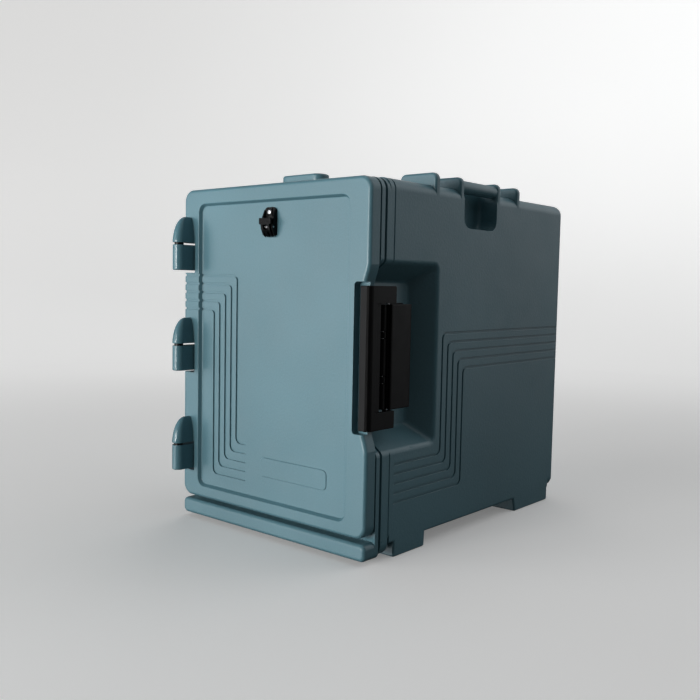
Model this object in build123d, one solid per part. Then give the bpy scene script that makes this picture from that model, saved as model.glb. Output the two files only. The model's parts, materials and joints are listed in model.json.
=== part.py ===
"""Insulated front-loading food-pan carrier.

Hollow, foam-filled double-wall body with a side-hung door on three lift-off
knuckle hinges, an over-centre draw latch on the right side, moulded-in carry
handles, stacking ribs, skid feet and a spring clip for a menu card.

Millimetres, +Z up, the door faces -Y. The design frame has X from the left edge
of the door, Y from the front face of its rim and Z from the floor. On export the
origin moves to the middle of the footprint at floor level.
"""
import os

from build123d import *

# ------------------------------------------------------------ driving dimensions
WIDTH = 450.0
REAR_Y = 642.6                 # back of the body
UNDER_Z, TOP_Z = 24.9, 618.0   # body underside and top
RIB_Z = 638.5                  # top of ribs and centre lug
BODY_RADIUS = 20.0
SKIN = 4.5                     # moulded wall thickness
# door
DOOR_Z0, DOOR_Z1 = 43.2, 615.9
DOOR_RADIUS = 21.0             # corner radius of door and front frame outline
DOOR_THICK = 25.5              # at the rim
PLUG_X, PLUG_Y = 62.5, 44.0    # side and rear of the inner plug
PLUG_Z0, PLUG_Z1 = 87.0, 556.0
GASKET_Y = 20.2                # bottom of the gasket groove
# front frame of the body
FRAME_Y = 27.3                 # its front plane, behind the door
FRAME_Z0, FRAME_Z1 = 7.3, DOOR_Z1 + 0.6
CHANNEL_Y0, CHANNEL_Y1, CHANNEL_DEPTH = 36.0, 41.5, 9.0   # deep channel round it
VEE_Y, VEE_DEPTH = 61.0, 1.5   # fine V line that separates frame and walls
# pan cavity and its rails
CAVITY_X0 = 56.5
CAVITY_X1 = WIDTH - CAVITY_X0
CAVITY_Y1 = 588.0
CAVITY_Z0, CAVITY_Z1 = 81.0, 562.0
RAIL_REACH = 12.0              # from the cavity wall
RAIL_COUNT, RAIL_PITCH, RAIL_Z0 = 10, 44.0, 110.0
RAIL_Y0, RAIL_Y1 = 62.0, CAVITY_Y1 - 6
# hinges
HINGE_X, HINGE_Y = 17.7, -26.0
KNUCKLE_R = 11.5               # knuckle half width
HINGE_ZS = (96.0, 282.0, 467.9)   # underside of each lower knuckle
LOWER_H, KNUCKLE_GAP, HINGE_H = 46.3, 4.4, 98.0
UPPER_DZ = LOWER_H + KNUCKLE_GAP  # underside of the upper knuckle above the lower's
NOTCH_X = 31.0                 # inner side of the hinge notches in the door
PIN_R, PIN_REACH = 5.0, 18.0   # pin radius and its reach into the upper knuckle
# threaded inserts and their screws
BORE_R, INSERT_R, THREAD_R = 4.05, 4.0, 2.5
SCREW_R, SCREW_HEAD_R, SCREW_HOLE_R = 2.45, 5.0, 2.75
# sunk door panel
PANEL_X0, PANEL_X1, PANEL_Z0, PANEL_Z1, PANEL_DEPTH = 41.7, 408.0, 65.0, 589.0, 7.0
GROOVE_WIDTH, GROOVE_DEPTH = 4.4, 2.4   # decorative grooves
# latch
RECESS_X = 408.0               # floor of the latch recess
RECESS_Y1, RECESS_Z0, RECESS_Z1 = 187.0, 176.6, 485.4
LIP_RADIUS = 11.0              # roll-over where the recess meets the side
LATCH_X = WIDTH                # outer plane of the latch
LEVER_X, LEVER_Y = 438.0, 50.0    # lever pin
HOOK_X, HOOK_Y = 437.0, 64.0      # hook pin
HOOK_Z0, HOOK_Z1 = 217.0, 446.0   # hook frame
WINDOW_Z0, WINDOW_Z1 = 245.0, 419.0   # window in the hook frame
LATCH_BORE_Z = (240.0, 430.0)     # span of the tools that bore the latch parts
LATCH_NOTCH_X, LATCH_NOTCH_Y = 420.0, 13.5   # notch in the door face
LATCH_NOTCH_Z0, LATCH_NOTCH_Z1 = 211.6, 452.2
BASE_SCREWS = ((86.0, 262.0), (86.0, 402.0), (128.0, 262.0), (128.0, 402.0))  # y, z
EARS = ((291.0, 301.0), (363.0, 373.0))   # z spans of the base's two ears
# carry handles
POCKET_Y0, POCKET_Y1, POCKET_Z0, POCKET_DEPTH = 260.7, 370.5, 550.0, 40.0
GRIP_Z, GRIP_R, GRIP_INSET = 622.8, 11.5, 12.5
# ribs and feet
RIB_LENGTH = 77.0
RIBS = ((172.0, 186.0), (247.0, POCKET_Y0), (POCKET_Y1, 384.0), (442.0, 456.0))  # y spans
FOOT_WIDTH, FOOT_TOP = 112.0, 60.0
FOOT_PROFILES = (              # (y, z): front foot, rear foot
    [(77.0, FOOT_TOP), (77.0, 0), (164.6, 0), (168.0, FOOT_TOP)],
    [(461.0, FOOT_TOP), (475.0, 0), (611.0, 0), (611.0, FOOT_TOP)],
)
# card clip: centre, screw height, half width and pivot pin
CLIP_X, CLIP_SCREW_Z, CLIP_HALF = 226.0, 567.5, 14.0
CLIP_PIN_Y, CLIP_PIN_Z, CLIP_PIN_R = -1.5, 542.0, 1.5

MID_X = WIDTH / 2
MID_Y = (REAR_Y + HINGE_Y - KNUCKLE_R) / 2

# stepped foam-fill holes, in the body underside and the door's bottom edge
BODY_FILL = dict(y=330, z_face=UNDER_Z, head_r=19.1, stem_r=15.1, head_h=2.2)
DOOR_FILL = dict(y=13.5, z_face=DOOR_Z0, head_r=7.6, stem_r=5.6, head_h=2.0)


# ---------------------------------------------------------------------- helpers
def block(x0, x1, y0, y1, z0, z1):
    centre = Pos((x0 + x1) / 2, (y0 + y1) / 2, (z0 + z1) / 2)
    return centre * Box(x1 - x0, y1 - y0, z1 - z0)


def round_block(x0, x1, y0, y1, z0, z1, radius):
    """Block with its four edges along Y rounded."""
    return fillet(block(x0, x1, y0, y1, z0, z1).edges().filter_by(Axis.Y), radius)


def edges_at(shape, axis, value):
    """Edges lying wholly in the plane axis = value; axis is "X", "Y" or "Z"."""
    found = []
    for edge in shape.edges():
        box = edge.bounding_box()
        low, high = getattr(box.min, axis), getattr(box.max, axis)
        if abs(low - value) < 0.01 and abs(high - value) < 0.01:
            found.append(edge)
    return found


def where(edges, test):
    """Edges whose centre passes the test."""
    return [edge for edge in edges if test(edge.center())]


def rod_x(x0, x1, y, z, radius):
    return Pos((x0 + x1) / 2, y, z) * Rot(0, 90, 0) * Cylinder(radius, x1 - x0)


def rod_y(x, y0, y1, z, radius):
    return Pos(x, (y0 + y1) / 2, z) * Rot(90, 0, 0) * Cylinder(radius, y1 - y0)


def rod_z(x, y, z0, z1, radius):
    return Pos(x, y, (z0 + z1) / 2) * Cylinder(radius, z1 - z0)


def cone_y(x, y0, y1, z, radius0, radius1):
    """Cone along +Y, radius0 at y0 and radius1 at y1."""
    return Pos(x, (y0 + y1) / 2, z) * Rot(-90, 0, 0) * Cone(radius0, radius1, y1 - y0)


def prism_z(points, z0, z1):
    face = make_face(Polyline(*[(x, y, z0) for x, y in points], close=True))
    return extrude(face, amount=z1 - z0, dir=(0, 0, 1))


def prism_x(points, x0, x1):
    face = make_face(Polyline(*[(x0, y, z) for y, z in points], close=True))
    return extrude(face, amount=x1 - x0, dir=(1, 0, 0))


def prism_y(points, y0, y1):
    face = make_face(Polyline(*[(x, y0, z) for x, z in points], close=True))
    return extrude(face, amount=y1 - y0, dir=(0, 1, 0))


def front_plane(y=0.0):
    """Plane facing -Y with local axes (x, z)."""
    return Plane(origin=(0, y, 0), x_dir=(1, 0, 0), z_dir=(0, -1, 0))


def side_plane(x=0.0):
    """Plane facing +X with local axes (y, z)."""
    return Plane(origin=(x, 0, 0), x_dir=(0, 1, 0), z_dir=(1, 0, 0))


def one(shape):
    """A single Solid where there is only one, else a Compound of the solids."""
    solids = shape.solids()
    return solids[0] if len(solids) == 1 else Compound(children=list(solids))


def group(shapes):
    return Compound(children=[one(shape) for shape in shapes])


def mirrored(shape):
    """The same shape on the opposite side of the carrier."""
    return mirror(shape, about=Plane.YZ.offset(MID_X))


def cut_fill_hole(shape, depth, y, z_face, head_r, stem_r, head_h):
    shape -= rod_z(MID_X, y, z_face - 1, z_face + head_h, head_r)
    return shape - rod_z(MID_X, y, z_face - 1, z_face + depth, stem_r)


def make_fill_plug(y, z_face, head_r, stem_r, head_h):
    plug = rod_z(MID_X, y, z_face + 0.2, z_face + head_h - 0.1, head_r - 0.15)
    plug += rod_z(MID_X, y, z_face + 1, z_face + SKIN - 0.1, stem_r - 0.1)
    return plug


# ------------------------------------------------------------- decorative grooves
# five nested grooves step down across the door and down the body sides
# (z of the high run, x of the upright run, z of the low run)
DOOR_GROOVES = (
    (459.2, 141.3, 159.3), (443.8, 125.9, 143.0), (428.2, 110.3, 126.8),
    (412.6, 94.7, 110.6), (397.2, 79.3, 94.3),
)
# (z of the high run, y of the upright run, z of the low run)
SIDE_GROOVES = (
    (366.0, 203.8, 155.7), (350.0, 220.5, 139.7), (334.0, 237.1, 123.7),
    (318.0, 253.8, 107.7), (302.0, 270.5, 91.7),
)


def groove_strip(points, radius, plane):
    """Groove-wide ribbon along a polyline with rounded corners."""
    return plane * trace(FilletPolyline(*points, radius=radius), line_width=GROOVE_WIDTH)


def door_groove_strips():
    return [
        groove_strip([(-6, high), (x, high), (x, low), (166.5, low)], 9.0, front_plane())
        for high, x, low in DOOR_GROOVES
    ]


def side_groove_prisms(x0, x1):
    prisms = []
    for high, y, low in SIDE_GROOVES:
        points = [(73, low), (y, low), (y, high), (REAR_Y + 8, high)]
        strip = groove_strip(points, 10.0, side_plane())
        prisms.append(Pos(x0, 0, 0) * extrude(strip, amount=x1 - x0, dir=(1, 0, 0)))
    return prisms


# ------------------------------------------------------------------- body shell
# rail section: (reach from the cavity wall, height above the rail's station)
RAIL_PROFILE = (
    (-1.0, -12), (RAIL_REACH - 2, -7), (RAIL_REACH, -4),
    (RAIL_REACH, 4.5), (RAIL_REACH - 2, 6.5), (-1.0, 9),
)


def latch_recess(grow=0.0, deeper=0.0):
    """Tapered latch recess in the right side, running out through the front."""
    y0, y1 = -120, RECESS_Y1 + grow
    z0, z1 = RECESS_Z0 - grow, RECESS_Z1 + grow
    mouth = make_face(Polyline((y0, z0), (y1, z0), (y1, z1), (y0, z1), close=True))
    mouth = side_plane(WIDTH + 2) * mouth
    return extrude(mouth, amount=WIDTH + 2 - RECESS_X + deeper, dir=(-1, 0, 0), taper=36)


def front_ring(y0, y1, depth):
    """Tool that cuts a channel of the given depth round the front frame."""
    return block(-10, WIDTH + 10, y0, y1, -5, RIB_Z + 10) - round_block(
        depth, WIDTH - depth, y0 - 1, y1 + 1,
        FRAME_Z0 + depth, FRAME_Z1 - depth, DOOR_RADIUS - depth,
    )


def vee_ring():
    """Tool with a V-shaped nose that scores a line round the frame outline."""
    waist = front_plane(VEE_Y) * (
        Pos(WIDTH / 2, (FRAME_Z0 + FRAME_Z1) / 2)
        * RectangleRounded(
            WIDTH - 2 * VEE_DEPTH, FRAME_Z1 - FRAME_Z0 - 2 * VEE_DEPTH, DOOR_RADIUS - VEE_DEPTH
        )
    )
    reach = VEE_DEPTH + 0.4
    core = extrude(waist, amount=reach, dir=(0, -1, 0), taper=-45)
    core += extrude(waist, amount=reach, dir=(0, 1, 0), taper=-45)
    y0, y1 = VEE_Y - VEE_DEPTH, VEE_Y + VEE_DEPTH
    return block(-10, WIDTH + 10, y0, y1, -20, RIB_Z + 20) - core


def make_walls():
    """Walls, front frame and bumper, with the latch recess and the two scored rings."""
    walls = block(0, WIDTH, 50, REAR_Y, UNDER_Z, TOP_Z)
    walls = fillet(
        walls.edges().filter_by(Axis.Y) + edges_at(walls, "Y", REAR_Y), BODY_RADIUS
    )
    frame = round_block(0, WIDTH, FRAME_Y, VEE_Y, FRAME_Z0, FRAME_Z1, DOOR_RADIUS)
    body = walls + frame
    recess = latch_recess()
    corners = where(
        recess.edges(),
        lambda mid: mid.Y > 100 and mid.X < WIDTH and abs(mid.X - RECESS_X) > 0.1,
    )
    recess = fillet(corners, 12.0)
    recess = fillet(where(edges_at(recess, "X", RECESS_X), lambda mid: mid.Y > 0), 6.0)
    body -= recess
    # the recess rolls over into the side wall
    rim = where(
        edges_at(body, "X", WIDTH),
        lambda mid: 150 < mid.Z < 500 and mid.Y < 200 and not abs(mid.Y - FRAME_Y) < 0.5,
    )
    body = fillet(rim, LIP_RADIUS)
    bumper = round_block(0, WIDTH, 0, CHANNEL_Y0 + 1, FRAME_Z0, 36.0, 9.5)
    body += fillet(edges_at(bumper, "Y", 0), 6.5)
    body -= front_ring(CHANNEL_Y0, CHANNEL_Y1, CHANNEL_DEPTH)
    # the channel carries on round the walls of the recess
    body -= (
        latch_recess(CHANNEL_DEPTH, CHANNEL_DEPTH * 0.8)
        & block(300, WIDTH + 10, CHANNEL_Y0, CHANNEL_Y1, 150, 510)
        & block(RECESS_X + 8, WIDTH + 10, 0, 100, 100, 560)
    )
    body -= vee_ring()
    return body


def make_rib(x0, x1, y0, y1):
    rib = block(x0, x1, y0, y1, 590.0, RIB_Z)
    rib = fillet(where(rib.edges().filter_by(Axis.Y), lambda mid: mid.Z > 600), 11.0)
    return fillet(where(rib.edges().filter_by(Axis.X), lambda mid: mid.Z > 600), 4.5)


def make_lug():
    """Centre lug on top, near the front."""
    lug = block(177, 273, 73.4, 109.4, 600, RIB_Z)
    lug = fillet(lug.edges().filter_by(Axis.Z), 16.0)
    return fillet(edges_at(lug, "Z", RIB_Z), 4.0)


def add_feet(body):
    """Skid feet, and sills that carry the side walls down into them."""
    rear_y = FOOT_PROFILES[1][-1][0]
    for x0, x1 in ((0.0, FOOT_WIDTH), (WIDTH - FOOT_WIDTH, WIDTH)):
        sill = block(x0, x1, 64.0, rear_y, UNDER_Z, FOOT_TOP)
        body += fillet(where(sill.edges().filter_by(Axis.Y), lambda mid: mid.Z < 30), 5.0)
        for profile in FOOT_PROFILES:
            foot = prism_x(profile, x0, x1)
            foot = fillet(where(foot.edges(), lambda mid: 5 < mid.Z < 55), 4.0)
            body += chamfer(edges_at(foot, "Z", 0), 2.0)
    return body


def make_cavity():
    """Pan cavity as a cutting tool, already notched by its rails."""
    cavity = round_block(CAVITY_X0, CAVITY_X1, 0, CAVITY_Y1, CAVITY_Z0, CAVITY_Z1, 14.0)
    cavity = fillet(edges_at(cavity, "Y", CAVITY_Y1), 8.0)
    for i in range(RAIL_COUNT):
        station = RAIL_Z0 + RAIL_PITCH * i
        rail = [(CAVITY_X0 + reach, station + dz) for reach, dz in RAIL_PROFILE]
        cavity -= prism_y(rail, RAIL_Y0, RAIL_Y1)
        cavity -= prism_y([(WIDTH - x, z) for x, z in rail], RAIL_Y0, RAIL_Y1)
    return cavity


def add_carry_handles(body):
    """Hand pocket and grip bar on each side."""
    floor_x = WIDTH - POCKET_DEPTH
    pocket = block(floor_x, WIDTH + 10, POCKET_Y0, POCKET_Y1, POCKET_Z0, RIB_Z + 20)
    pocket = fillet(where(pocket.edges().filter_by(Axis.X), lambda mid: mid.Z < 560), 19.0)
    pocket = fillet(where(edges_at(pocket, "X", floor_x), lambda mid: mid.Z < 630), 9.0)
    grip = rod_y(WIDTH - GRIP_INSET, POCKET_Y0 - 3, POCKET_Y1 + 3, GRIP_Z, GRIP_R)
    body -= mirrored(pocket)
    body += mirrored(grip)
    body -= pocket
    body += grip
    return body


def make_body():
    body = make_walls()
    for y0, y1 in RIBS:
        for x0, x1 in ((WIDTH - RIB_LENGTH, WIDTH), (0.0, RIB_LENGTH)):
            body += make_rib(x0, x1, y0, y1)
    body += make_lug()
    body = add_feet(body)
    body -= make_cavity()
    body = add_carry_handles(body)
    right = side_groove_prisms(WIDTH - GROOVE_DEPTH, WIDTH + 5)
    for groove in right + side_groove_prisms(-5, GROOVE_DEPTH):
        body -= groove
    # flush seats for the hinge arms, and their insert bores
    for z0 in HINGE_ZS:
        body -= hinge_foot(z0, FRAME_Y - 1, FRAME_Y + 4.2, gap=0.3)
        for screw_z in hinge_screw_zs(z0):
            body -= rod_y(HINGE_X, FRAME_Y, FRAME_Y + 21.0, screw_z, BORE_R)
    # insert bores behind the latch base
    for y, z in BASE_SCREWS:
        body -= rod_x(398.5, RECESS_X + 1, y, z, BORE_R)
    return cut_fill_hole(body, 12, **BODY_FILL)


def make_body_foam():
    foam = block(
        SKIN, WIDTH - SKIN, CHANNEL_Y1 + 5.0, REAR_Y - SKIN, UNDER_Z + SKIN, TOP_Z - SKIN
    )
    outer_edges = list(foam.edges().filter_by(Axis.Y)) + edges_at(foam, "Y", REAR_Y - SKIN)
    foam = fillet(outer_edges, BODY_RADIUS - SKIN)
    foam -= front_ring(40.0, VEE_Y + 8.0, SKIN + 2.5)
    inset = CHANNEL_DEPTH + SKIN
    foam += round_block(
        inset, WIDTH - inset, FRAME_Y + SKIN, CHANNEL_Y1 + 8.0,
        UNDER_Z + SKIN, DOOR_Z1 - inset, DOOR_RADIUS - 8,
    )
    foam -= round_block(
        CAVITY_X0 - SKIN, CAVITY_X1 + SKIN, 0, CAVITY_Y1 + SKIN,
        CAVITY_Z0 - SKIN, CAVITY_Z1 + SKIN, 16.0,
    )
    foam -= latch_recess(6.0, SKIN)
    foam -= latch_recess(CHANNEL_DEPTH + 6.0, CHANNEL_DEPTH + SKIN - 1) & block(
        300, WIDTH + 10, 0, CHANNEL_Y1 + 5.0, 100, 560
    )
    # clear the hand pockets and the insert bores
    depth = POCKET_DEPTH + SKIN
    for x0, x1 in ((WIDTH - depth, WIDTH + 10), (-10, depth)):
        foam -= block(x0, x1, POCKET_Y0 - SKIN, POCKET_Y1 + SKIN, POCKET_Z0 - SKIN, RIB_Z)
    for z0 in HINGE_ZS:
        foam -= block(-1, HINGE_X + KNUCKLE_R + 6, 0, FRAME_Y + 26.0, z0 - 22, z0 + 68)
    for y, z in BASE_SCREWS:
        foam -= rod_x(395.0, 405.0, y, z, 8.5)
    # fill the feet
    inset = SKIN + 2
    for x0, x1 in ((6.0, 118.0), (WIDTH - 118.0, WIDTH - 6.0)):
        for y0, y1 in ((79.0, 162.0), (485.0, 608.0)):
            foam += block(
                x0 + inset, x1 - inset, y0 + inset, y1 - inset, SKIN, UNDER_Z + SKIN + 1
            )
    return foam


# ------------------------------------------------------------------------- door
WAIST_Z = 332.0               # middle of the waist beside the latch
WAIST_X = (440.0, 445.4)      # straight edge, mid-point of each curved end
# upper-knuckle section stations, as fractions of its height
KNUCKLE_STATIONS = (0.0, 0.25, 0.48, 0.67, 0.82, 0.92, 0.975, 0.997)
KNUCKLE_TOP_Y = -11.4         # where the nose centre ends up at the top


def latch_waist(grow=0.0):
    """Tool for the waist in the door's right edge beside the latch."""
    y, x_end, x_out = -5, WIDTH + 1, WIDTH + 8
    near, middle, far = (half + grow for half in (108.0, 131.0, 154.0))
    x_flat, x_curve = (x - grow for x in WAIST_X)
    wire = [
        Spline(
            (x_end, y, WAIST_Z + far), (x_curve, y, WAIST_Z + middle),
            (x_flat, y, WAIST_Z + near),
            tangents=((-0.1, 0, -1), (0, 0, -1)),
        ),
        Line((x_flat, y, WAIST_Z + near), (x_flat, y, WAIST_Z - near)),
        Spline(
            (x_flat, y, WAIST_Z - near), (x_curve, y, WAIST_Z - middle),
            (x_end, y, WAIST_Z - far),
            tangents=((0, 0, -1), (0.1, 0, -1)),
        ),
        Line((x_end, y, WAIST_Z - far), (x_out, y, WAIST_Z - far)),
        Line((x_out, y, WAIST_Z - far), (x_out, y, WAIST_Z + far)),
        Line((x_out, y, WAIST_Z + far), (x_end, y, WAIST_Z + far)),
    ]
    return extrude(make_face(wire), amount=DOOR_THICK + 10, dir=(0, 1, 0))


def gasket_block(inset, y0, y1, radius):
    """Rounded block inset from the outer outline of the gasket groove."""
    return round_block(
        39.0 + inset, WIDTH - 39.0 - inset, y0, y1, 63.0 + inset, 580.0 - inset, radius
    )


def make_door_slab():
    """Slab with its sunk panel."""
    slab = round_block(0, WIDTH, 0, DOOR_THICK, DOOR_Z0, DOOR_Z1, DOOR_RADIUS)
    slab -= latch_waist()
    slab = fillet(edges_at(slab, "Y", 0), 6.0)
    slab = fillet(edges_at(slab, "Y", DOOR_THICK), 2.5)
    panel = front_plane(-3) * (
        Pos((PANEL_X0 + PANEL_X1) / 2, (PANEL_Z0 + PANEL_Z1) / 2)
        * RectangleRounded(PANEL_X1 - PANEL_X0 + 3.2, PANEL_Z1 - PANEL_Z0 + 3.2, 17.6)
    )
    panel = extrude(panel, amount=PANEL_DEPTH + 3, dir=(0, 1, 0), taper=28)
    slab -= fillet(edges_at(panel, "Y", PANEL_DEPTH), 1.8)
    panel_rim = where(
        edges_at(slab, "Y", 0),
        lambda mid: PANEL_X0 - 9 < mid.X < PANEL_X1 + 9 and PANEL_Z0 - 9 < mid.Z < PANEL_Z1 + 9,
    )
    return fillet(panel_rim, 1.6)


def cut_door_grooves(door):
    """Cut grooves of even depth that follow the face across rim, slope and panel."""
    sunk = Pos(0, GROOVE_DEPTH, 0) * door
    for strip in door_groove_strips():
        groove = extrude(strip, amount=16, dir=(0, 1, 0))
        door -= (Pos(0, -2, 0) * groove) - sunk - block(-10, 200, 12, 40, 50, 500)
    return door


def make_upper_knuckle(z0):
    """Bullet shape: U sections whose nose and width shrink on a quarter ellipse."""
    sections = []
    for station in KNUCKLE_STATIONS:
        shrink = (1 - station * station) ** 0.5
        radius = KNUCKLE_R * shrink
        y = KNUCKLE_TOP_Y - (-HINGE_Y + KNUCKLE_TOP_Y) * shrink
        z = z0 + UPPER_DZ + (HINGE_H - UPPER_DZ) * station
        left, right, back = HINGE_X - radius, HINGE_X + radius, 1.5
        outline = [
            Line((left, back, z), (left, y, z)),
            ThreePointArc((left, y, z), (HINGE_X, y - radius, z), (right, y, z)),
            Line((right, y, z), (right, back, z)),
            Line((right, back, z), (left, back, z)),
        ]
        sections.append(make_face(outline))
    return loft(sections)


def make_door():
    door = cut_door_grooves(make_door_slab())
    # blank raised plaque, lower right
    plaque_y = PANEL_DEPTH - 1.2
    plaque = round_block(205, 362, plaque_y, PANEL_DEPTH + 1, 108, 142, 9.0)
    door += chamfer(edges_at(plaque, "Y", plaque_y), 0.8)
    plug = round_block(
        PLUG_X, WIDTH - PLUG_X, DOOR_THICK - 2, PLUG_Y, PLUG_Z0, PLUG_Z1, 16.0
    )
    door += fillet(edges_at(plug, "Y", PLUG_Y), 5.0)
    door -= gasket_block(0, GASKET_Y, DOOR_THICK + 1, 22.0) - gasket_block(
        12, GASKET_Y - 1, DOOR_THICK + 2, 12.0
    )
    # hinge notches and bored upper knuckles
    for z0 in HINGE_ZS:
        upper = z0 + UPPER_DZ
        door -= block(-5, NOTCH_X, -5, DOOR_THICK + 5, z0 - KNUCKLE_GAP, upper)
        door += make_upper_knuckle(z0)
        door -= rod_z(HINGE_X, HINGE_Y, upper - 1, upper + PIN_REACH + 1.5, 6.55)
    # latch notch in the face, over the waist in the side
    door -= round_block(
        LATCH_NOTCH_X, WIDTH + 18, -5, LATCH_NOTCH_Y, LATCH_NOTCH_Z0, LATCH_NOTCH_Z1, 6.0
    )
    # the rear hinge-side edge is relieved so that it swings past the frame
    door -= block(-5, HINGE_X, 5, DOOR_THICK + 2, 0, 700) - rod_z(
        HINGE_X, HINGE_Y, -5, 705, FRAME_Y - HINGE_Y - 0.5
    )
    door = cut_fill_hole(door, 8.0, **DOOR_FILL)
    # clip screw pilot
    return door - rod_y(CLIP_X, PANEL_DEPTH - 1, 18.6, CLIP_SCREW_Z, 2.05)


def make_door_foam():
    side = SKIN + 0.5
    foam = round_block(
        side, WIDTH - side, 5.0, GASKET_Y - 2.6,
        DOOR_Z0 + SKIN, DOOR_Z1 - SKIN, DOOR_RADIUS - SKIN,
    )
    foam -= round_block(
        PANEL_X0 - 4, PANEL_X1 + 4, 0, PANEL_DEPTH + 4.0, PANEL_Z0 - 4, PANEL_Z1 + 4, 14.0
    )
    for z0 in HINGE_ZS:
        foam -= block(
            -5, NOTCH_X + SKIN, 0, 60, z0 - KNUCKLE_GAP - SKIN, z0 + UPPER_DZ + SKIN
        )
        foam -= block(-5, HINGE_X + KNUCKLE_R + 4, 0, 9.0, z0, z0 + HINGE_H + 2)
    foam -= block(
        LATCH_NOTCH_X - SKIN, WIDTH, 0, LATCH_NOTCH_Y + SKIN,
        LATCH_NOTCH_Z0 - SKIN, LATCH_NOTCH_Z1 + SKIN,
    )
    foam -= latch_waist(SKIN)
    foam += round_block(
        PLUG_X + SKIN, WIDTH - PLUG_X - SKIN, GASKET_Y - 4.0, PLUG_Y - SKIN,
        PLUG_Z0 + SKIN, PLUG_Z1 - SKIN, 12.0,
    )
    return foam - rod_y(CLIP_X, 0, 26.0, CLIP_SCREW_Z, 7.0)


def make_gasket():
    y0, y1 = GASKET_Y + 0.3, FRAME_Y - 0.1
    gasket = gasket_block(0.3, y0, y1, 21.7) - gasket_block(11.7, y0 - 1, y1 + 1, 12.3)
    # a groove leaves two lips facing the body
    gasket -= gasket_block(4, y1 - 2.6, y1 + 1, 18.0) - gasket_block(8, y1 - 3, y1 + 2, 15.0)
    return gasket


# ----------------------------------------------------------------------- hinges
def hinge_foot(z0, y0, y1, gap=0.0):
    """Foot plate of a hinge arm, or its seat when grown by a gap."""
    return round_block(
        HINGE_X - KNUCKLE_R - gap, HINGE_X + KNUCKLE_R + gap, y0, y1,
        z0 - 16.0 - gap, z0 + 62.3 + gap, 3.7 + gap,
    )


def hinge_screw_zs(z0):
    return z0 - 8.0, z0 + 54.3


def hinge_tube(z0, z1, outer_r, inner_r):
    """Sleeve on the hinge axis."""
    return rod_z(HINGE_X, HINGE_Y, z0, z1, outer_r) - rod_z(
        HINGE_X, HINGE_Y, z0 - 1, z1 + 2, inner_r
    )


def make_hinge_arm(z0):
    z1 = z0 + LOWER_H
    arm = block(HINGE_X - KNUCKLE_R, HINGE_X + KNUCKLE_R, HINGE_Y, FRAME_Y + 1, z0, z1)
    arm = one(arm + rod_z(HINGE_X, HINGE_Y, z0, z1, KNUCKLE_R))
    arm = fillet(edges_at(arm, "Z", z0), 2.0)
    arm += hinge_foot(z0, FRAME_Y, FRAME_Y + 4.0)
    arm -= rod_z(HINGE_X, HINGE_Y, z0 + 6.0, z1 + 1, PIN_R + 0.05)
    for z in hinge_screw_zs(z0):
        arm -= rod_y(HINGE_X, FRAME_Y - 1, FRAME_Y + 5, z, SCREW_HOLE_R)
        arm -= cone_y(HINGE_X, FRAME_Y - 0.01, FRAME_Y + 2.6, z, 5.25, 2.65)
    return arm


def make_hinge_pin(z0):
    top = z0 + UPPER_DZ + PIN_REACH
    pin = rod_z(HINGE_X, HINGE_Y, z0 + 6.3, top, PIN_R)
    return chamfer(edges_at(pin, "Z", top), 1.6)


def make_washer(z0):
    bottom = z0 + LOWER_H + 0.1
    return hinge_tube(bottom, bottom + KNUCKLE_GAP - 0.2, 8.4, PIN_R + 0.1)


def make_bushing(z0):
    bottom = z0 + UPPER_DZ + 0.2
    return hinge_tube(bottom, bottom + PIN_REACH, 6.5, PIN_R + 0.12)


def make_hinge_screw(z):
    """Countersunk screw pointing to +Y, its head flush with the arm's foot."""
    screw = cone_y(HINGE_X, FRAME_Y + 0.15, FRAME_Y + 2.7, z, SCREW_HEAD_R, SCREW_R)
    screw += rod_y(HINGE_X, FRAME_Y + 2.6, FRAME_Y + 16.0, z, SCREW_R)
    screw -= cone_y(HINGE_X, FRAME_Y - 0.5, FRAME_Y + 1.9, z, 2.6, 1.2)
    return screw


def make_hinge_insert(z):
    y0, y1 = FRAME_Y + 4.4, FRAME_Y + 18.0
    return rod_y(HINGE_X, y0, y1, z, INSERT_R) - rod_y(HINGE_X, y0 - 1, y1 + 1, z, THREAD_R)


# ------------------------------------------------------------------------ latch
# (x, y) section of the grip plate with its turned-in rear lip
GRIP_PROFILE = (
    (443.6, 62.0), (445.5, 58.6), (448.0, 58.0), (449.6, 59.4), (450.0, 62.0),
    (450.0, 108.0), (449.0, 112.0), (446.0, 114.0), (440.5, 114.0), (438.5, 112.4),
    (438.5, 109.8), (440.4, 108.6), (443.2, 108.0), (443.6, 105.0),
)
# (x, y) section of the hook's front bar, which turns in over the door
HOOK_BAR_PROFILE = (
    (428.6, 5.2), (430.6, 2.9), (442.6, 2.9), (446.2, 4.8), (449.2, 8.4), (LATCH_X, 11.6),
    (LATCH_X, 14.0), (443.2, 14.0), (442.0, 12.6), (440.6, 12.0), (430.0, 12.0), (428.6, 10.6),
)
# (x, y) section of the ears that carry the lever pin
EAR_PROFILE = (
    (RECESS_X + 3, 74), (RECESS_X + 3, 106), (RECESS_X + 8, 99),
    (LEVER_X - 10.5, LEVER_Y + 11.5), (LEVER_X - 2, LEVER_Y + 6.2),
    (LEVER_X - 6.2, LEVER_Y - 2), (RECESS_X + 9, 66),
)
# (x, y) section of the tongue that carries both pins
TONGUE_PROFILE = (
    (LEVER_X - 5.6, LEVER_Y), (LEVER_X - 5.6, LEVER_Y + 3), (HOOK_X - 6.5, HOOK_Y),
    (HOOK_X - 3, HOOK_Y + 7), (446.5, 78.0), (446.5, 62.0), (HOOK_X + 5.5, HOOK_Y - 6),
    (LEVER_X + 5.4, LEVER_Y + 3), (LEVER_X + 5.4, LEVER_Y),
)


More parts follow.
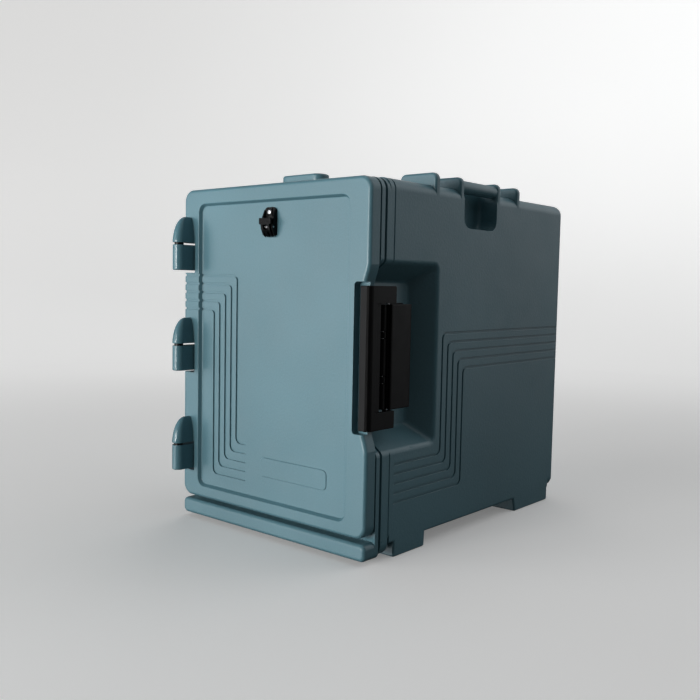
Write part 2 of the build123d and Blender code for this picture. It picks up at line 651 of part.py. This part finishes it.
def make_latch_base():
    face_x = RECESS_X + 5.0
    base = block(RECESS_X + 0.05, face_x, 72.0, 142.0, 246.0, 418.0)
    base = fillet(base.edges().filter_by(Axis.X), 8.0)
    base = fillet(edges_at(base, "X", face_x), 1.5)
    for z0, z1 in EARS:
        base += prism_z(EAR_PROFILE, z0, z1) + rod_z(LEVER_X, LEVER_Y, z0, z1, 6.3)
    base -= rod_z(LEVER_X, LEVER_Y, *LATCH_BORE_Z, 2.55)
    for y, z in BASE_SCREWS:
        base -= rod_x(RECESS_X - 1, RECESS_X + 7, y, z, SCREW_HOLE_R)
    return base


def make_base_screw(y, z):
    """Cross-slotted pan-head screw pointing to -X, its head on the base plate."""
    face = RECESS_X + 5.0
    screw = rod_x(face + 0.05, face + 3.2, y, z, SCREW_HEAD_R)
    screw = fillet(edges_at(screw, "X", face + 3.2), 1.6)
    screw += rod_x(face - 13.0, face + 1, y, z, SCREW_R)
    screw -= block(face + 2.0, face + 4, y - 2.6, y + 2.6, z - 0.6, z + 0.6)
    screw -= block(face + 2.0, face + 4, y - 0.6, y + 0.6, z - 2.6, z + 2.6)
    return screw


def make_base_insert(y, z):
    return rod_x(399.0, RECESS_X - 0.1, y, z, INSERT_R) - rod_x(390, 410, y, z, THREAD_R)


def make_tongue(z0, z1):
    tongue = prism_z(TONGUE_PROFILE, z0, z1)
    tongue += rod_z(LEVER_X, LEVER_Y, z0, z1, 5.6)
    # split where the base ears pass, hollowed between webs
    for ear0, ear1 in EARS:
        tongue -= rod_z(LEVER_X, LEVER_Y, ear0 - 1, ear1 + 1, 8.6) + block(
            400, LEVER_X + 2, 30, HOOK_Y - 4.4, ear0 - 1, ear1 + 1
        )
    for low, high in ((254.0, 284.0), (310.0, 354.0), (380.0, 410.0)):
        tongue -= block(HOOK_X - 12, 442.0, HOOK_Y + 4.2, 90, low, high)
    return tongue


def make_lever():
    z0, z1 = WINDOW_Z0 + 2, WINDOW_Z1 - 2
    lever = prism_z(GRIP_PROFILE, z0, z1)
    lever = fillet(
        where(lever.edges(), lambda mid: mid.Z in (z0, z1) and mid.X > LATCH_X - 0.1), 1.5
    )
    lever += make_tongue(z0 + 1, z1 - 1)
    # stiffening webs behind the grip
    web = [(444, 76), (438.5, 76), (440.0, 109.5), (444, 109.5)]
    for z in (249.0, 290.0, 332.0, 374.0, 413.0):
        lever += prism_z(web, z - 1.2, z + 1.2)
    lever -= rod_z(LEVER_X, LEVER_Y, *LATCH_BORE_Z, 2.65)
    lever -= rod_z(HOOK_X, HOOK_Y, *LATCH_BORE_Z, 2.65)
    return lever


def make_hook():
    # side frame: two arms and the front post
    hook = block(443.2, LATCH_X, 12.0, 70.0, HOOK_Z0, HOOK_Z1)
    hook -= block(430, LATCH_X + 5, 20.5, 75.0, WINDOW_Z0, WINDOW_Z1)
    outer_corners = where(
        hook.edges().filter_by(Axis.X),
        lambda mid: mid.Y > 60 and (mid.Z > WINDOW_Z1 + 5 or mid.Z < WINDOW_Z0 - 5),
    )
    hook = fillet(outer_corners, 3.0)
    # pin bosses on the arms
    for z0, z1 in ((HOOK_Z0 + 1.0, WINDOW_Z0), (WINDOW_Z1, HOOK_Z1 - 1.0)):
        hook += rod_z(HOOK_X, HOOK_Y, z0, z1, 6.0)
        hook += block(HOOK_X, 444.0, HOOK_Y - 6, HOOK_Y + 6, z0, z1)
    bar = prism_z(HOOK_BAR_PROFILE, HOOK_Z0, HOOK_Z1)
    bar_ends = edges_at(bar, "Z", HOOK_Z0) + edges_at(bar, "Z", HOOK_Z1)
    hook += fillet(where(bar_ends, lambda mid: mid.Y < 8), 1.2)
    # sunk web behind the front half of the window
    z0, z1 = WINDOW_Z0 - 4, WINDOW_Z1 + 4
    hook += block(440.8, 442.9, 13.0, 39.5, z0, z1) + block(440.8, 443.6, 14.0, 22.0, z0, z1)
    for low, high in ((z0, WINDOW_Z0), (WINDOW_Z1, z1)):
        hook += block(440.8, 444.0, 13.0, 39.5, low, high)
    return hook - rod_z(HOOK_X, HOOK_Y, HOOK_Z0 + 5, HOOK_Z1 - 5, 2.55)


# ------------------------------------------------------------------------- clip
# (y, z) sections
CHEEK_PROFILE = (
    (PANEL_DEPTH - 2, 572), (PANEL_DEPTH - 3.8, 571), (-2.0, 559), (-2.0, 547.0),
    (-4.6, 544.4), (-4.6, 539.6), (0.5, 528.6), (PANEL_DEPTH - 2, 528.6),
)
JAW_PROFILE = (
    (-6.4, 556.0), (-9.2, 556.0), (-9.5, 545.4), (-6.6, 536.4), (-0.2, 526.6), (3.0, 525.2),
    (3.0, 528.2), (0.8, 530.4), (-2.2, 537.6), (-2.2, 546.0), (-6.0, 547.5),
)
SPRING_LEG_PROFILE = (
    (0.2, 544.2), (3.4, 548.4), (3.4, 553.0), (2.7, 553.0), (2.7, 548.7), (-0.4, 544.7),
)


def clip_rod(half, radius):
    """Rod on the clip's pivot axis, reaching half its length either side."""
    return rod_x(CLIP_X - half, CLIP_X + half, CLIP_PIN_Y, CLIP_PIN_Z, radius)


def make_clip_base():
    x0, x1 = CLIP_X - CLIP_HALF, CLIP_X + CLIP_HALF
    base = block(x0, x1, PANEL_DEPTH - 3.4, PANEL_DEPTH - 0.05, 528.0, 576.0)
    base = fillet(where(base.edges().filter_by(Axis.Y), lambda mid: mid.Z > 570), 9.0)
    base = fillet(where(base.edges().filter_by(Axis.Y), lambda mid: mid.Z < 530), 1.5)
    for left, right in ((x0, x0 + 3.4), (x1 - 3.4, x1)):
        base += prism_x(CHEEK_PROFILE, left, right)
    # two small ribs, one each side of the screw
    for x in (CLIP_X - 5.4, CLIP_X + 5.4):
        base += block(x - 0.7, x + 0.7, PANEL_DEPTH - 5.0, PANEL_DEPTH - 3, 560.5, 574)
    base -= rod_y(CLIP_X, -5, 10, CLIP_SCREW_Z, 2.3)
    return base - clip_rod(CLIP_HALF + 1, 1.55)


def make_clip_jaw():
    half = 10.2
    jaw = prism_x(JAW_PROFILE, CLIP_X - half, CLIP_X + half) + clip_rod(half, 3.4)
    x0, x1 = CLIP_X - CLIP_HALF, CLIP_X + CLIP_HALF
    pad = block(x0, x1, -9.6, -6.2, 546.2, 557.0)
    pad = fillet(pad.edges().filter_by(Axis.Y), 1.2)
    jaw += fillet(edges_at(pad, "Y", -9.6), 0.8)
    # grip lines across the pad
    for i in range(4):
        z = 548.3 + 2.3 * i
        jaw -= block(x0 + 2, x1 - 2, -12, -9.1, z - 0.5, z + 0.5)
    # toe split into legs, and a window over the spring coil
    jaw -= block(CLIP_X - 8.2, CLIP_X - 5.6, -12, 8, 520, 532.0)
    jaw -= block(CLIP_X + 1.6, CLIP_X + 5.0, -12, 8, 520, 534.0)
    jaw -= block(CLIP_X - 5.4, CLIP_X + 5.4, -12, 4, 537.0, 545.8)
    jaw -= block(CLIP_X - 5.4, CLIP_X + 5.4, -5.4, 8, 535.5, 549.5)
    return jaw - clip_rod(15, 1.6)


def make_clip_spring():
    """Coil as a sleeve scored into turns, with one leg."""
    half, turns = 4.6, 7
    spring = clip_rod(half, 3.0) - clip_rod(6, 1.9)
    for i in range(1, turns):
        x = CLIP_X - half + 2 * half * i / turns
        spring -= rod_x(x - 0.16, x + 0.16, CLIP_PIN_Y, CLIP_PIN_Z, 4.0) - rod_x(
            x - 0.3, x + 0.3, CLIP_PIN_Y, CLIP_PIN_Z, 2.5
        )
    return spring + prism_x(SPRING_LEG_PROFILE, CLIP_X - half, CLIP_X - 3.6)


def make_clip_screw():
    x, z, head_y = CLIP_X, CLIP_SCREW_Z, PANEL_DEPTH - 6.2
    screw = rod_y(x, head_y, PANEL_DEPTH - 3.45, z, 4.2)
    screw = fillet(edges_at(screw, "Y", head_y), 1.5)
    screw += rod_y(x, PANEL_DEPTH - 4, PANEL_DEPTH + 11, z, 2.0)
    y0, y1 = PANEL_DEPTH - 7, PANEL_DEPTH - 5.2
    screw -= block(x - 2.4, x + 2.4, y0, y1, z - 0.5, z + 0.5)
    screw -= block(x - 0.5, x + 0.5, y0, y1, z - 2.4, z + 2.4)
    return screw


# ----------------------------------------------------------------------- export
def build():
    body_foam, door_foam = make_body_foam(), make_door_foam()
    screw_zs = [z for z0 in HINGE_ZS for z in hinge_screw_zs(z0)]
    parts = {
        "body_shell": make_body() - body_foam,
        "body_foam": body_foam,
        "body_fill_plug": make_fill_plug(**BODY_FILL),
        "hinge_pins": group(make_hinge_pin(z) for z in HINGE_ZS),
        "hinge_washers": group(make_washer(z) for z in HINGE_ZS),
        "hinge_bushings": group(make_bushing(z) for z in HINGE_ZS),
        "hinge_arm_screws": group(make_hinge_screw(z) for z in screw_zs),
        "hinge_inserts": group(make_hinge_insert(z) for z in screw_zs),
        "latch_base": make_latch_base(),
        "latch_base_screws": group(make_base_screw(y, z) for y, z in BASE_SCREWS),
        "latch_inserts": group(make_base_insert(y, z) for y, z in BASE_SCREWS),
        "latch_lever_pin": rod_z(LEVER_X, LEVER_Y, WINDOW_Z0 + 3.5, WINDOW_Z1 - 3.5, 2.5),
        "latch_lever": make_lever(),
        "latch_hook_pin": rod_z(HOOK_X, HOOK_Y, HOOK_Z0 + 6, HOOK_Z1 - 6, 2.5),
        "latch_hook": make_hook(),
        "door_shell": make_door() - door_foam,
        "door_foam": door_foam,
        "door_fill_plug": make_fill_plug(**DOOR_FILL),
        "door_gasket": make_gasket(),
        "clip_base": make_clip_base(),
        "clip_screw": make_clip_screw(),
        "clip_pin": clip_rod(CLIP_HALF - 0.1, CLIP_PIN_R),
        "clip_spring": make_clip_spring(),
        "clip_jaw": make_clip_jaw(),
    }
    for name, z0 in zip(("bottom", "middle", "top"), HINGE_ZS):
        parts[f"hinge_arm_{name}"] = make_hinge_arm(z0)
    return parts


os.makedirs("parts", exist_ok=True)
for name, shape in build().items():
    export_step(Pos(-MID_X, -MID_Y, 0) * shape, f"parts/{name}.step")
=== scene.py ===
# A hollow polyethylene moulding with a foam core, a door on its front, hinge arms and latches.
# It stands upright on the floor at z = 0, around the Z axis, with its door facing -Y.
# The pieces come from the CAD. This script gives them materials, a paper studio, lights
# and a camera at the front right (+X, -Y). Units are metres.
import bpy
import json
import math
from mathutils import Matrix, Vector

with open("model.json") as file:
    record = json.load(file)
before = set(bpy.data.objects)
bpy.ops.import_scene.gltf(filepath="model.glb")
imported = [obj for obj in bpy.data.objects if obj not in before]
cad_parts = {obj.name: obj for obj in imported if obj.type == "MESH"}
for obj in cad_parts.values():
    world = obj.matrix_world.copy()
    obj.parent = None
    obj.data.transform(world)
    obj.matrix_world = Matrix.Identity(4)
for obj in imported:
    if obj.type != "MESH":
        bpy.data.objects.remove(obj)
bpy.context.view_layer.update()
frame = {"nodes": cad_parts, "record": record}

DOOR_FACE_Y = -0.30255

# polyethylene and steel colours, linear RGB
SHELL_COLOUR = (0.080, 0.172, 0.206)
PIN_STEEL = (0.55, 0.55, 0.56)
SCREW_STEEL = (0.62, 0.62, 0.63)
BRASS = (0.75, 0.56, 0.26)

# studio sheet: a flat floor, a quarter-circle cove and an upright wall
FLOOR_RADIUS = 3.2
COVE_RADIUS = 1.8
COVE_STEPS = 18
WALL_TOP = 4.5
SHEET_SEGMENTS = 96
# glow of the sheet: everywhere, added with height, added with distance from the object
GLOW_BASE, GLOW_RISE, GLOW_SPREAD = 0.16, 0.03, 0.25
# share of the sheet's brightness that every ray but the camera's sees
BOUNCE = 0.13

CAMERA_PLACE = (1.048956, -1.311791, 0.447855)
CAMERA_AZIMUTH = math.radians(40.4507)     # from +Y towards -X
CAMERA_PITCH = math.radians(4.4596)        # downwards
CAMERA_ROLL = math.radians(1.0918)
CAMERA_LENS = 43.419909                    # mm, on a 36 mm sensor


# ---------------------------------------------------------------- node helpers
class Graph:
    """Adds nodes to a node tree. Values may be constants or output sockets."""

    def __init__(self, tree):
        self.tree = tree

    def node(self, kind, **settings):
        node = self.tree.nodes.new(kind)
        for key, value in settings.items():
            setattr(node, key, value)
        return node

    def feed(self, socket, value):
        if isinstance(value, bpy.types.NodeSocket):
            self.tree.links.new(value, socket)
        elif socket.type == "RGBA":
            socket.default_value = (*value, 1)
        else:
            socket.default_value = value

    def feed_all(self, node, values):
        for key, value in values.items():
            self.feed(node.inputs[key], value)

    def math(self, operation, first, second):
        node = self.node("ShaderNodeMath", operation=operation)
        self.feed_all(node, {0: first, 1: second})
        return node.outputs[0]

    def add(self, first, second):
        return self.math("ADD", first, second)

    def subtract(self, first, second):
        return self.math("SUBTRACT", first, second)

    def multiply(self, first, second):
        return self.math("MULTIPLY", first, second)

    def dot(self, first, second):
        node = self.node("ShaderNodeVectorMath", operation="DOT_PRODUCT")
        self.feed_all(node, {0: first, 1: second})
        return node.outputs["Value"]

    def remap(self, value, source, target=(0.0, 1.0), curve="LINEAR"):
        """Map the source range onto the target range, clamped."""
        node = self.node("ShaderNodeMapRange", interpolation_type=curve)
        for i, item in enumerate((value, *source, *target)):
            self.feed(node.inputs[i], item)
        return node.outputs[0]


class Material(Graph):
    """A Principled material, with textures in object space or in world space."""

    def __init__(self, name, world_space=False):
        self.material = bpy.data.materials.new(name)
        self.material.use_nodes = True
        super().__init__(self.material.node_tree)
        self.tree.nodes.clear()
        output = self.node("ShaderNodeOutputMaterial")
        self.shader = self.node("ShaderNodeBsdfPrincipled")
        self.feed(output.inputs[0], self.shader.outputs[0])
        if world_space:
            self.coords = self.node("ShaderNodeNewGeometry").outputs["Position"]
        else:
            self.coords = self.node("ShaderNodeTexCoord").outputs["Object"]

    def surface(self, inputs):
        self.feed_all(self.shader, inputs)
        return self.material

    def mix(self, factor, first, second):
        node = self.node("ShaderNodeMix", data_type="RGBA")
        # inputs 6 and 7 and output 2 are the colour sockets
        self.feed_all(node, {0: factor, 6: first, 7: second})
        return node.outputs[2]

    def mapped(self, scale, rotation=(0.0, 0.0, 0.0)):
        node = self.node("ShaderNodeMapping")
        self.feed_all(node, {"Vector": self.coords, "Scale": scale, "Rotation": rotation})
        return node.outputs[0]

    def axes(self):
        node = self.node("ShaderNodeSeparateXYZ")
        self.feed(node.inputs[0], self.coords)
        return node.outputs

    def noise(self, scale, detail=3.0, roughness=0.6, vector=None):
        node = self.node("ShaderNodeTexNoise")
        self.feed_all(node, {
            "Vector": vector or self.coords,
            "Scale": scale, "Detail": detail, "Roughness": roughness,
        })
        return node.outputs["Fac"]

    def bump(self, height, strength, distance, normal=None):
        node = self.node("ShaderNodeBump")
        self.feed_all(node, {"Strength": strength, "Distance": distance, "Height": height})
        if normal is not None:
            self.feed(node.inputs["Normal"], normal)
        return node.outputs[0]

    def round_edges(self, radius, samples=4):
        node = self.node("ShaderNodeBevel", samples=samples)
        self.feed(node.inputs["Radius"], radius)
        return node.outputs[0]

    def edge_wear(self, radius, patches, patch_range):
        """Patchy mask on convex and concave edges, 0 on flats."""
        rounded = self.round_edges(radius)
        flat = self.node("ShaderNodeNewGeometry").outputs["True Normal"]
        bend = self.subtract(1.0, self.dot(rounded, flat))
        edges = self.remap(bend, (0.02, 0.35))
        return self.multiply(edges, self.remap(patches, patch_range))


def shade(colour, factor, lift=0.0):
    return tuple(value * factor + lift for value in colour)


# ------------------------------------------------------------------- materials
def polyethylene(name, roughness=0.31, grain=1.0, bevel=0.0006):
    """Rotational moulding: orange-peel grain, slow colour drift, paler rubbed edges."""
    m = Material(name)
    drift = m.noise(scale=3.2, detail=2.0, roughness=0.5)
    cloud = m.noise(scale=21.0, detail=1.0, roughness=0.5)
    fine = m.noise(scale=420.0, detail=2.0, roughness=0.55)
    fleck = m.noise(scale=1500.0, detail=1.0, roughness=0.5)
    peel = m.noise(scale=230.0, detail=0.0, roughness=0.5)
    sink = m.noise(scale=5.0, detail=1.0, roughness=0.5)
    patches = m.noise(scale=24.0, detail=4.0, roughness=0.65)
    wear = m.edge_wear(radius=0.0022, patches=patches, patch_range=(0.42, 0.66))

    # colour: drift, clouds, pale grain, then slightly chalky edges
    colour = m.mix(m.remap(drift, (0.3, 0.7)), shade(SHELL_COLOUR, 0.90), shade(SHELL_COLOUR, 1.10))
    colour = m.mix(m.multiply(cloud, 0.10), colour, shade(SHELL_COLOUR, 1.35))
    pale_grain = m.multiply(m.remap(fine, (0.42, 0.72)), 0.16)
    colour = m.mix(pale_grain, colour, shade(SHELL_COLOUR, 1.5))
    colour = m.mix(m.multiply(wear, 0.28), colour, shade(SHELL_COLOUR, 1.9, lift=0.02))

    # roughness: clouds, worn edges and long faint wipe marks
    rough = m.remap(cloud, (0.0, 1.0), (roughness - 0.08, roughness + 0.10))
    rough = m.add(rough, m.multiply(wear, 0.10))
    wipe_space = m.mapped(scale=(3.0, 3.0, 30.0), rotation=(0.25, 0.5, 0.15))
    wipes = m.noise(scale=3.0, detail=1.0, roughness=0.5, vector=wipe_space)
    rough = m.add(rough, m.multiply(wipes, 0.02))

    # the hinge knuckles, proud of the door's face, come from polished mould inserts
    slick = m.remap(m.axes()["Y"], (DOOR_FACE_Y - 0.0006, DOOR_FACE_Y - 0.002))
    rough = m.subtract(rough, m.multiply(slick, roughness - 0.19))

    # relief: slow sink marks of a hollow moulding, then the grain, fainter where slick
    height = m.add(m.multiply(peel, 1.1), m.multiply(fine, 0.6))
    height = m.add(height, m.multiply(fleck, 0.06))
    height = m.multiply(height, m.subtract(1.0, m.multiply(slick, 0.8)))
    normal = m.round_edges(bevel, samples=8)
    normal = m.bump(sink, strength=0.05, distance=0.0030, normal=normal)
    normal = m.bump(height, strength=0.24 * grain, distance=0.0006, normal=normal)
    return m.surface({
        "Base Color": colour,
        "Roughness": rough,
        "IOR": 1.50,
        "Specular IOR Level": 0.42,
        "Normal": normal,
    })


def moulded(name, colour, roughness, grain=0.2, specular=0.5, bevel=0.0006):
    """Injection-moulded plastic with a fine spark-eroded grain."""
    m = Material(name)
    mottle = m.noise(scale=55.0)
    fine = m.noise(scale=1400.0, detail=2.0)
    patches = m.noise(scale=60.0, detail=4.0)
    wear = m.edge_wear(radius=0.0012, patches=patches, patch_range=(0.45, 0.65))
    mottled = m.mix(m.remap(mottle, (0.3, 0.7)), shade(colour, 0.85), shade(colour, 1.2))
    rough = m.remap(mottle, (0.3, 0.7), (roughness - 0.05, roughness + 0.06))
    rounded = m.round_edges(bevel, samples=6)
    return m.surface({
        "Base Color": m.mix(m.multiply(wear, 0.5), mottled, shade(colour, 3.0, lift=0.01)),
        "Roughness": m.add(rough, m.multiply(wear, 0.12)),
        "Specular IOR Level": specular,
        "Normal": m.bump(fine, strength=grain, distance=0.0003, normal=rounded),
    })


def metal(name, colour, roughness, axis=2, grain=0.25):
    """Metal brushed along one axis (0 = X, 2 = Z), with darker tarnish."""
    m = Material(name)
    stretch = [900.0, 900.0, 900.0]
    stretch[axis] = 18.0
    brushing = m.noise(scale=1.0, vector=m.mapped(scale=stretch))
    tarnish = m.remap(m.noise(scale=70.0), (0.4, 0.75))
    rounded = m.round_edges(0.0003)
    return m.surface({
        "Base Color": m.mix(tarnish, colour, shade(colour, 0.72)),
        "Metallic": 1.0,
        "Roughness": m.remap(brushing, (0.3, 0.7), (roughness - 0.06, roughness + 0.1)),
        "Normal": m.bump(brushing, strength=grain, distance=0.0002, normal=rounded),
    })


def rubber(name):
    """Dull black rubber with patches of grey dust."""
    m = Material(name)
    grain = m.noise(scale=500.0)
    dust = m.remap(m.noise(scale=30.0, detail=4.0, roughness=0.65), (0.5, 0.75))
    rounded = m.round_edges(0.0006)
    return m.surface({
        "Base Color": m.mix(m.multiply(dust, 0.35), (0.018, 0.018, 0.019), (0.07, 0.07, 0.068)),
        "Roughness": 0.72,
        "Normal": m.bump(grain, strength=0.3, distance=0.0003, normal=rounded),
    })


def foam(name):
    """Yellow foam with a cellular surface."""
    m = Material(name)
    cells = m.node("ShaderNodeTexVoronoi")
    m.feed_all(cells, {"Vector": m.coords, "Scale": 260.0})
    cloud = m.remap(m.noise(scale=14.0), (0.3, 0.7))
    return m.surface({
        "Base Color": m.mix(cloud, (0.62, 0.47, 0.22), (0.80, 0.66, 0.38)),
        "Roughness": 0.9,
        "Normal": m.bump(cells.outputs["Distance"], strength=0.7, distance=0.002),
    })


def paper(name):
    """Off-white sheet that glows more with height and with distance from the object."""
    m = Material(name, world_space=True)
    # light that leaves the sheet for the object is held back, as over a dark bench
    camera_ray = m.node("ShaderNodeLightPath").outputs["Is Camera Ray"]
    seen = m.add(BOUNCE, m.multiply(camera_ray, 1.0 - BOUNCE))
    cloud = m.noise(scale=1.2, detail=2.0, roughness=0.5)
    white = m.mix(cloud, (0.82, 0.817, 0.81), (0.86, 0.857, 0.85))

    axes = m.axes()
    ground = m.node("ShaderNodeCombineXYZ")
    m.feed_all(ground, {0: axes["X"], 1: axes["Y"]})
    distance = m.node("ShaderNodeVectorMath", operation="LENGTH")
    m.feed(distance.inputs[0], ground.outputs[0])
    rise = m.remap(axes["Z"], (0.0, 1.2), (0.0, GLOW_RISE), "SMOOTHSTEP")
    spread = m.remap(distance.outputs["Value"], (0.7, 3.4), (0.0, GLOW_SPREAD), "SMOOTHSTEP")
    glow = m.add(m.add(rise, spread), GLOW_BASE)
    return m.surface({
        "Base Color": m.mix(seen, (0, 0, 0), white),
        "Roughness": 0.75,
        "Specular IOR Level": 0.25,
        "Normal": m.bump(m.noise(scale=240.0), strength=0.08, distance=0.0005),
        "Emission Color": (1.0, 0.995, 0.985),
        "Emission Strength": m.multiply(glow, seen),
    })


# keyed by the CAD's material slots, plus one for the hinge arms
MATERIALS = {
    "shell": polyethylene("shell_polyethylene"),
    "hinge_arm": polyethylene("hinge_polyethylene", roughness=0.20, grain=0.12, bevel=0.0012),
    "foam": foam("foam_core"),
    "plug": moulded("plug_plastic", (0.09, 0.15, 0.17), roughness=0.45),
    "bearing_plastic": moulded(
        "bearing_black", (0.005, 0.005, 0.0055), roughness=0.35, specular=0.2),
    "steel": metal("pin_steel", PIN_STEEL, roughness=0.28),
    "bright_steel": metal("screw_bright", SCREW_STEEL, roughness=0.24, axis=0, grain=0.1),
    "insert_brass": metal("insert_brass", BRASS, roughness=0.3),
    "latch_plastic": moulded(
        "latch_nylon", (0.0026, 0.0025, 0.0027), roughness=0.38, grain=0.25, specular=0.13),
    "clip_plastic": moulded(
        "clip_plastic", (0.0024, 0.0024, 0.0027), roughness=0.30, grain=0.10, specular=0.12,
        bevel=0.0005),
    "gasket": rubber("gasket_rubber"),
}


def paint_pieces():
    slots = {part["node"]: part["material_slot"] for part in frame["record"]["subparts"]}
    for name, piece in frame["nodes"].items():
        key = slots[name]
        if name.startswith("hinge_arm_") and name != "hinge_arm_screws":
            key = "hinge_arm"
        piece.data.materials.clear()
        piece.data.materials.append(MATERIALS[key])


# ---------------------------------------------------------------------- studio
def revolved(name, rings, material, filled=False):
    """Sheet turned about Z through (radius, z) rings; filled closes the first ring."""
    count = SHEET_SEGMENTS
    angles = [2 * math.pi * k / count for k in range(count)]
    vertices = [
        (radius * math.cos(angle), radius * math.sin(angle), z)
        for radius, z in rings for angle in angles
    ]
    faces = []
    for i in range(len(rings) - 1):
        for k in range(count):
            here = i * count + k
            beside = i * count + (k + 1) % count
            faces.append((here, here + count, beside + count, beside))
    if filled:
        faces.append(tuple(range(count)))
    mesh = bpy.data.meshes.new(name)
    mesh.from_pydata(vertices, [], faces)
    mesh.update()
    for face in mesh.polygons:
        face.use_smooth = True
    mesh.materials.append(material)
    sheet = bpy.data.objects.new(name, mesh)
    bpy.context.scene.collection.objects.link(sheet)
    return sheet


def build_sheet():
    material = paper("studio_paper")
    floor_rings = [(0.5, 0.0), (2.0, 0.0), (FLOOR_RADIUS, 0.0)]
    floor = revolved("studio_floor", floor_rings, material, filled=True)
    floor.visible_glossy = False

    wall_rings = []
    for i in range(COVE_STEPS + 1):
        angle = math.pi / 2 * i / COVE_STEPS
        radius = FLOOR_RADIUS + COVE_RADIUS * math.sin(angle)
        wall_rings.append((radius, COVE_RADIUS * (1 - math.cos(angle))))
    wall_rings.append((FLOOR_RADIUS + COVE_RADIUS, WALL_TOP))
    wall = revolved("studio_wall", wall_rings, material)
    # the wall closes the picture but doesn't hide the lights and sky behind it
    wall.visible_diffuse = False
    wall.visible_glossy = False
    wall.visible_transmission = False
    wall.visible_shadow = False


def area_light(name, place, target, size, power, colour, glossy=True):
    """Rectangular light of (width, height) aimed at the target, hidden from the camera."""
    light = bpy.data.lights.new(name, "AREA")
    light.shape = "RECTANGLE"
    light.size, light.size_y = size
    light.energy = power
    light.color = colour
    lamp = bpy.data.objects.new(name, light)
    bpy.context.scene.collection.objects.link(lamp)
    lamp.location = place
    lamp.rotation_mode = "QUATERNION"
    lamp.rotation_quaternion = (Vector(target) - Vector(place)).to_track_quat("-Z", "Y")
    lamp.visible_camera = False
    lamp.visible_glossy = glossy


def build_lights():
    area_light("key_window", (-0.35, -3.87, 0.45), target=(0, -0.1, 0.32),
               size=(1.1, 1.3), power=84.0, colour=(1.0, 0.99, 0.975))
    area_light("left_window", (-3.2, -3.7, 0.40), target=(0, -0.1, 0.32),
               size=(2.8, 2.0), power=92.0, colour=(1.0, 0.995, 0.985), glossy=False)
    area_light("right_high", (1.5, -0.3, 2.0), target=(0.1, 0, 0.32),
               size=(1.0, 1.0), power=2.4, colour=(0.98, 0.99, 1.0))
    area_light("top_soft", (-0.2, 0.5, 2.6), target=(0, 0.1, 0.4),
               size=(1.6, 1.6), power=8.0, colour=(1.0, 0.995, 0.985))
    area_light("back_soft", (-2.2, 2.4, 1.9), target=(0, 0.1, 0.35),
               size=(1.4, 1.4), power=7.0, colour=(1.0, 0.99, 0.98))


# direction, range of its cosine with the sky direction, strength over that range
SKY_BASE = ((-0.42, -0.78, 0.46), (-0.7, 0.95), (0.015, 0.09))
# pale patches that the side wall, the door and the top shoulders mirror towards the camera
SKY_PATCHES = [
    ((0.62, 0.72, 0.30), (0.80, 0.98), (0.0, 0.74)),
    ((-0.46, -0.885, -0.10), (0.80, 0.985), (0.0, 3.0)),
    ((0.10, 0.75, 0.65), (0.72, 0.97), (0.0, 0.60)),
]


def build_world():
    world = bpy.data.worlds.new("studio")
    bpy.context.scene.world = world
    world.use_nodes = True
    graph = Graph(world.node_tree)
    sky_direction = graph.node("ShaderNodeTexCoord").outputs["Generated"]

    def glow(direction, cosines, strengths):
        cosine = graph.dot(sky_direction, Vector(direction).normalized())
        return graph.remap(cosine, cosines, strengths, "SMOOTHSTEP")

    total = glow(*SKY_BASE)
    for patch in SKY_PATCHES:
        total = graph.add(total, glow(*patch))
    background = world.node_tree.nodes["Background"]
    graph.feed_all(background, {"Color": (0.95, 0.975, 1.0), "Strength": total})


def build_camera():
    azimuth, pitch, roll = CAMERA_AZIMUTH, CAMERA_PITCH, CAMERA_ROLL
    forward = Vector((
        -math.sin(azimuth) * math.cos(pitch),
        math.cos(azimuth) * math.cos(pitch),
        -math.sin(pitch),
    ))
    level_right = Vector((math.cos(azimuth), math.sin(azimuth), 0))
    level_up = level_right.cross(forward)
    right = level_right * math.cos(roll) + level_up * math.sin(roll)
    up = level_up * math.cos(roll) - level_right * math.sin(roll)
    turn = Matrix((right, up, -forward)).transposed().to_4x4()

    lens = bpy.data.cameras.new("camera")
    lens.sensor_width = 36.0
    lens.lens = CAMERA_LENS
    lens.clip_start = 0.05
    lens.clip_end = 60
    camera = bpy.data.objects.new("camera", lens)
    bpy.context.scene.collection.objects.link(camera)
    camera.matrix_world = Matrix.Translation(CAMERA_PLACE) @ turn
    bpy.context.scene.camera = camera


paint_pieces()
build_sheet()
build_lights()
build_world()
build_camera()

view = bpy.context.scene.view_settings
view.view_transform = "Standard"
view.look = "None"
view.exposure = 0.0
